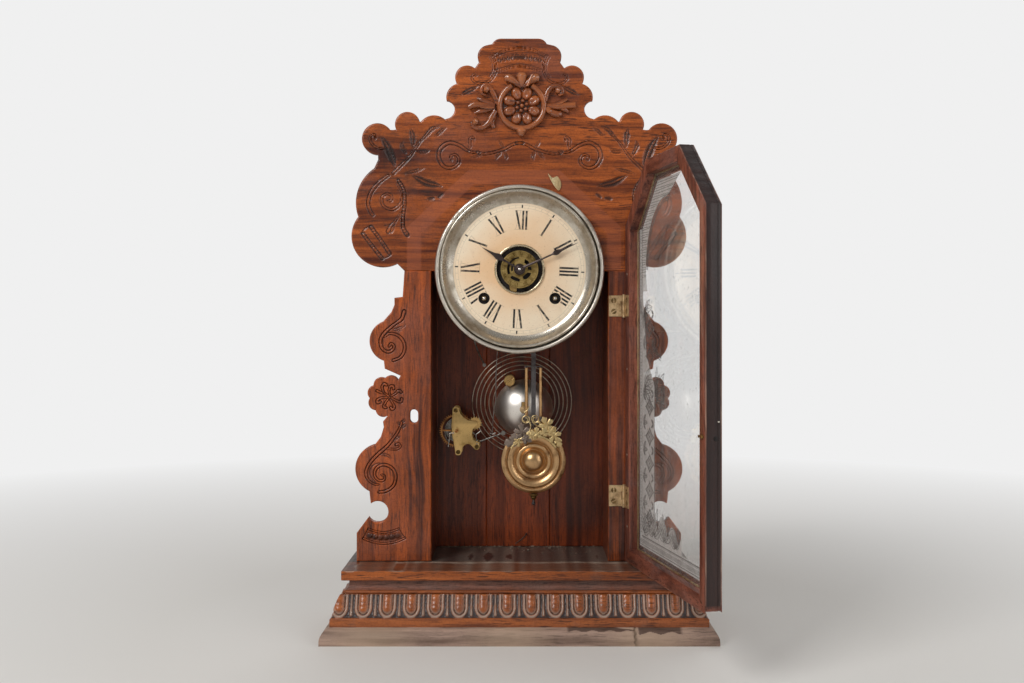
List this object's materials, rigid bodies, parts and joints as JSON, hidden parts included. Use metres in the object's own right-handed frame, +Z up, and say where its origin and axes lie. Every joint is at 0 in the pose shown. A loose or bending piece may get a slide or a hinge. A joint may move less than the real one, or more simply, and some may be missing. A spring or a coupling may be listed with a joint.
{
  "type": "mantel shelf clock",
  "caption": "Pressed-oak kitchen shelf clock with carved head board, open arched glass door, paper dial, swinging pendulum, coiled gong and bell alarm.",
  "frame": {"origin": "middle of the base footprint, on the surface the clock stands on; the open door is left out of it", "axes": "+X to the viewer's right, +Y from the dial towards the back board, +Z up"},
  "size_m": [0.3634, 0.2856, 0.5655],
  "materials": {
    "worn_oak": "worn, dull",
    "base_oak": "varnished",
    "case_wood": "stained",
    "carved_oak": "glossy varnish",
    "door_oak": "varnished",
    "glass": "clear, stencilled",
    "worn_brass": "worn",
    "brass": "satin",
    "tin": "tarnished tin plate",
    "paper": "aged paper",
    "black_steel": "blued",
    "steel": "aged",
    "nickel": "dull nickel"
  },
  "bodies": {
    "case": {"foot_molding": "worn_oak", "egg_molding": "base_oak", "cove_molding": "base_oak", "base_rear_rail": "base_oak", "base_top_board": "base_oak", "case_box": "case_wood", "back_board": "case_wood", "left_stile": "carved_oak", "right_stile": "carved_oak", "head_board": "carved_oak", "crest_ornament": "carved_oak", "frame_hinge_leaves": "worn_brass", "hinge_pins": "worn_brass", "dial_pan": "tin", "dial_paper": "paper", "front_plate": "brass", "back_plate": "brass", "movement_pillars": "steel", "mainsprings": "steel", "gong_post": "brass", "gong_coil": "steel", "alarm_bell": "nickel", "bell_post": "brass", "alarm_frame": "brass", "alarm_spring": "steel"},
    "door": {"door_hinge_stile": "door_oak", "door_free_stile": "door_oak", "door_bottom_rail": "door_oak", "door_arch_rails": "door_oak", "door_glass": "glass", "glass_beads": "door_oak", "door_hinge_leaves": "worn_brass"},
    "latch": {"door_latch": "worn_brass"},
    "minute": {"minute_arbor": "steel", "minute_hand": "black_steel"},
    "minute_wheel": {"minute_wheel": "brass"},
    "hour": {"hour_wheel": "brass", "hour_hand": "black_steel"},
    "alarm_set": {"alarm_disc": "brass"},
    "time_winding": {"time_winding_arbor": "steel"},
    "time_great": {"time_great_wheel": "brass"},
    "time_second": {"time_second_wheel": "brass"},
    "centre": {"centre_wheel": "brass"},
    "third": {"third_wheel": "brass"},
    "escape": {"escape_wheel": "brass"},
    "verge": {"verge": "steel"},
    "pendulum": {"pendulum_rod": "steel", "pendulum_frame": "brass", "pendulum_bob": "brass", "bob_ornament": "brass", "rating_nut": "brass"},
    "strike_winding": {"strike_winding_arbor": "steel"},
    "strike_great": {"strike_great_wheel": "brass"},
    "strike_pin": {"strike_pin_wheel": "brass"},
    "strike_third": {"strike_third_wheel": "brass"},
    "fly": {"strike_fly": "brass"},
    "gong_hammer": {"gong_hammer": "steel"},
    "alarm_great": {"alarm_great_wheel": "brass"},
    "alarm_escape": {"alarm_escape_wheel": "brass"},
    "alarm_hammer": {"alarm_hammer": "brass"}
  },
  "joints": [
    {"name": "door_hinge", "type": "hinge", "parent": "case", "child": "door", "pos_m": [0.1, -0.0124, 0.2], "axis": [0, 0, 1], "range_deg": [-102.3, 0]},
    {"name": "latch_turn", "type": "hinge", "parent": "door", "child": "latch", "pos_m": [0.14287, -0.20903, 0.2034], "axis": [-0.977, -0.213, 0], "range_deg": [0, 90]},
    {"name": "minute_turn", "type": "hinge", "parent": "case", "child": "minute", "pos_m": [0, 0, 0.344], "axis": [0, 1, 0], "continuous": true},
    {"name": "minute_wheel_turn", "type": "hinge", "parent": "case", "child": "minute_wheel", "pos_m": [-0.01039, 0, 0.338], "axis": [0, 1, 0], "continuous": true},
    {"name": "hour_turn", "type": "hinge", "parent": "case", "child": "hour", "pos_m": [0, 0, 0.344], "axis": [0, 1, 0], "continuous": true},
    {"name": "alarm_set_turn", "type": "hinge", "parent": "hour", "child": "alarm_set", "pos_m": [0, 0, 0.344], "axis": [0, 1, 0], "continuous": true},
    {"name": "time_winding", "type": "hinge", "parent": "case", "child": "time_winding", "pos_m": [0.034, 0, 0.3163], "axis": [0, 1, 0], "continuous": true},
    {"name": "time_great_turn", "type": "hinge", "parent": "case", "child": "time_great", "pos_m": [0.034, 0, 0.3163], "axis": [0, 1, 0], "continuous": true},
    {"name": "time_second_turn", "type": "hinge", "parent": "case", "child": "time_second", "pos_m": [0.02143, 0, 0.34132], "axis": [0, 1, 0], "continuous": true},
    {"name": "centre_turn", "type": "hinge", "parent": "case", "child": "centre", "pos_m": [0, 0, 0.344], "axis": [0, 1, 0], "continuous": true},
    {"name": "third_turn", "type": "hinge", "parent": "case", "child": "third", "pos_m": [0.0011, 0, 0.36129], "axis": [0, 1, 0], "continuous": true},
    {"name": "escape_turn", "type": "hinge", "parent": "case", "child": "escape", "pos_m": [0.0135, 0, 0.371], "axis": [0, 1, 0], "continuous": true},
    {"name": "verge_rock", "type": "hinge", "parent": "case", "child": "verge", "pos_m": [0.0135, 0, 0.388], "axis": [0, 1, 0], "range_deg": [-3.5, 3.5]},
    {"name": "pendulum_swing", "type": "hinge", "parent": "case", "child": "pendulum", "pos_m": [0.0135, 0, 0.388], "axis": [0, 1, 0], "range_deg": [-3.5, 3.5]},
    {"name": "strike_winding", "type": "hinge", "parent": "case", "child": "strike_winding", "pos_m": [-0.034, 0, 0.3163], "axis": [0, 1, 0], "continuous": true},
    {"name": "strike_great_turn", "type": "hinge", "parent": "case", "child": "strike_great", "pos_m": [-0.034, 0, 0.3163], "axis": [0, 1, 0], "continuous": true},
    {"name": "strike_pin_turn", "type": "hinge", "parent": "case", "child": "strike_pin", "pos_m": [-0.03001, 0, 0.34401], "axis": [0, 1, 0], "continuous": true},
    {"name": "strike_third_turn", "type": "hinge", "parent": "case", "child": "strike_third", "pos_m": [-0.02402, 0, 0.36477], "axis": [0, 1, 0], "continuous": true},
    {"name": "fly_turn", "type": "hinge", "parent": "case", "child": "fly", "pos_m": [-0.03001, 0, 0.37761], "axis": [0, 1, 0], "continuous": true},
    {"name": "gong_hammer_lift", "type": "hinge", "parent": "case", "child": "gong_hammer", "pos_m": [-0.051, 0, 0.292], "axis": [0, 1, 0], "range_deg": [0, 9]},
    {"name": "alarm_great_turn", "type": "hinge", "parent": "case", "child": "alarm_great", "pos_m": [-0.0625, 0.045, 0.186], "axis": [0, 1, 0], "continuous": true},
    {"name": "alarm_escape_turn", "type": "hinge", "parent": "case", "child": "alarm_escape", "pos_m": [-0.04433, 0.045, 0.19334], "axis": [0, 1, 0], "continuous": true},
    {"name": "alarm_hammer_rock", "type": "hinge", "parent": "case", "child": "alarm_hammer", "pos_m": [-0.04233, 0.045, 0.17334], "axis": [0, 1, 0], "range_deg": [-4, 4]}
  ],
  "couplings": [
    {"joint": "minute_wheel_turn", "follows": "minute_turn", "ratio": -0.33333},
    {"joint": "hour_turn", "follows": "minute_turn", "ratio": 0.083333},
    {"joint": "centre_turn", "follows": "third_turn", "ratio": -0.1},
    {"joint": "time_second_turn", "follows": "third_turn", "ratio": 0.0125},
    {"joint": "time_great_turn", "follows": "third_turn", "ratio": -0.0013889},
    {"joint": "escape_turn", "follows": "third_turn", "ratio": -9},
    {"joint": "verge_rock", "follows": "pendulum_swing", "ratio": 1},
    {"joint": "strike_pin_turn", "follows": "strike_third_turn", "ratio": -0.125},
    {"joint": "strike_great_turn", "follows": "strike_third_turn", "ratio": 0.013889},
    {"joint": "fly_turn", "follows": "strike_third_turn", "ratio": -8},
    {"joint": "alarm_escape_turn", "follows": "alarm_great_turn", "ratio": -6}
  ]
}
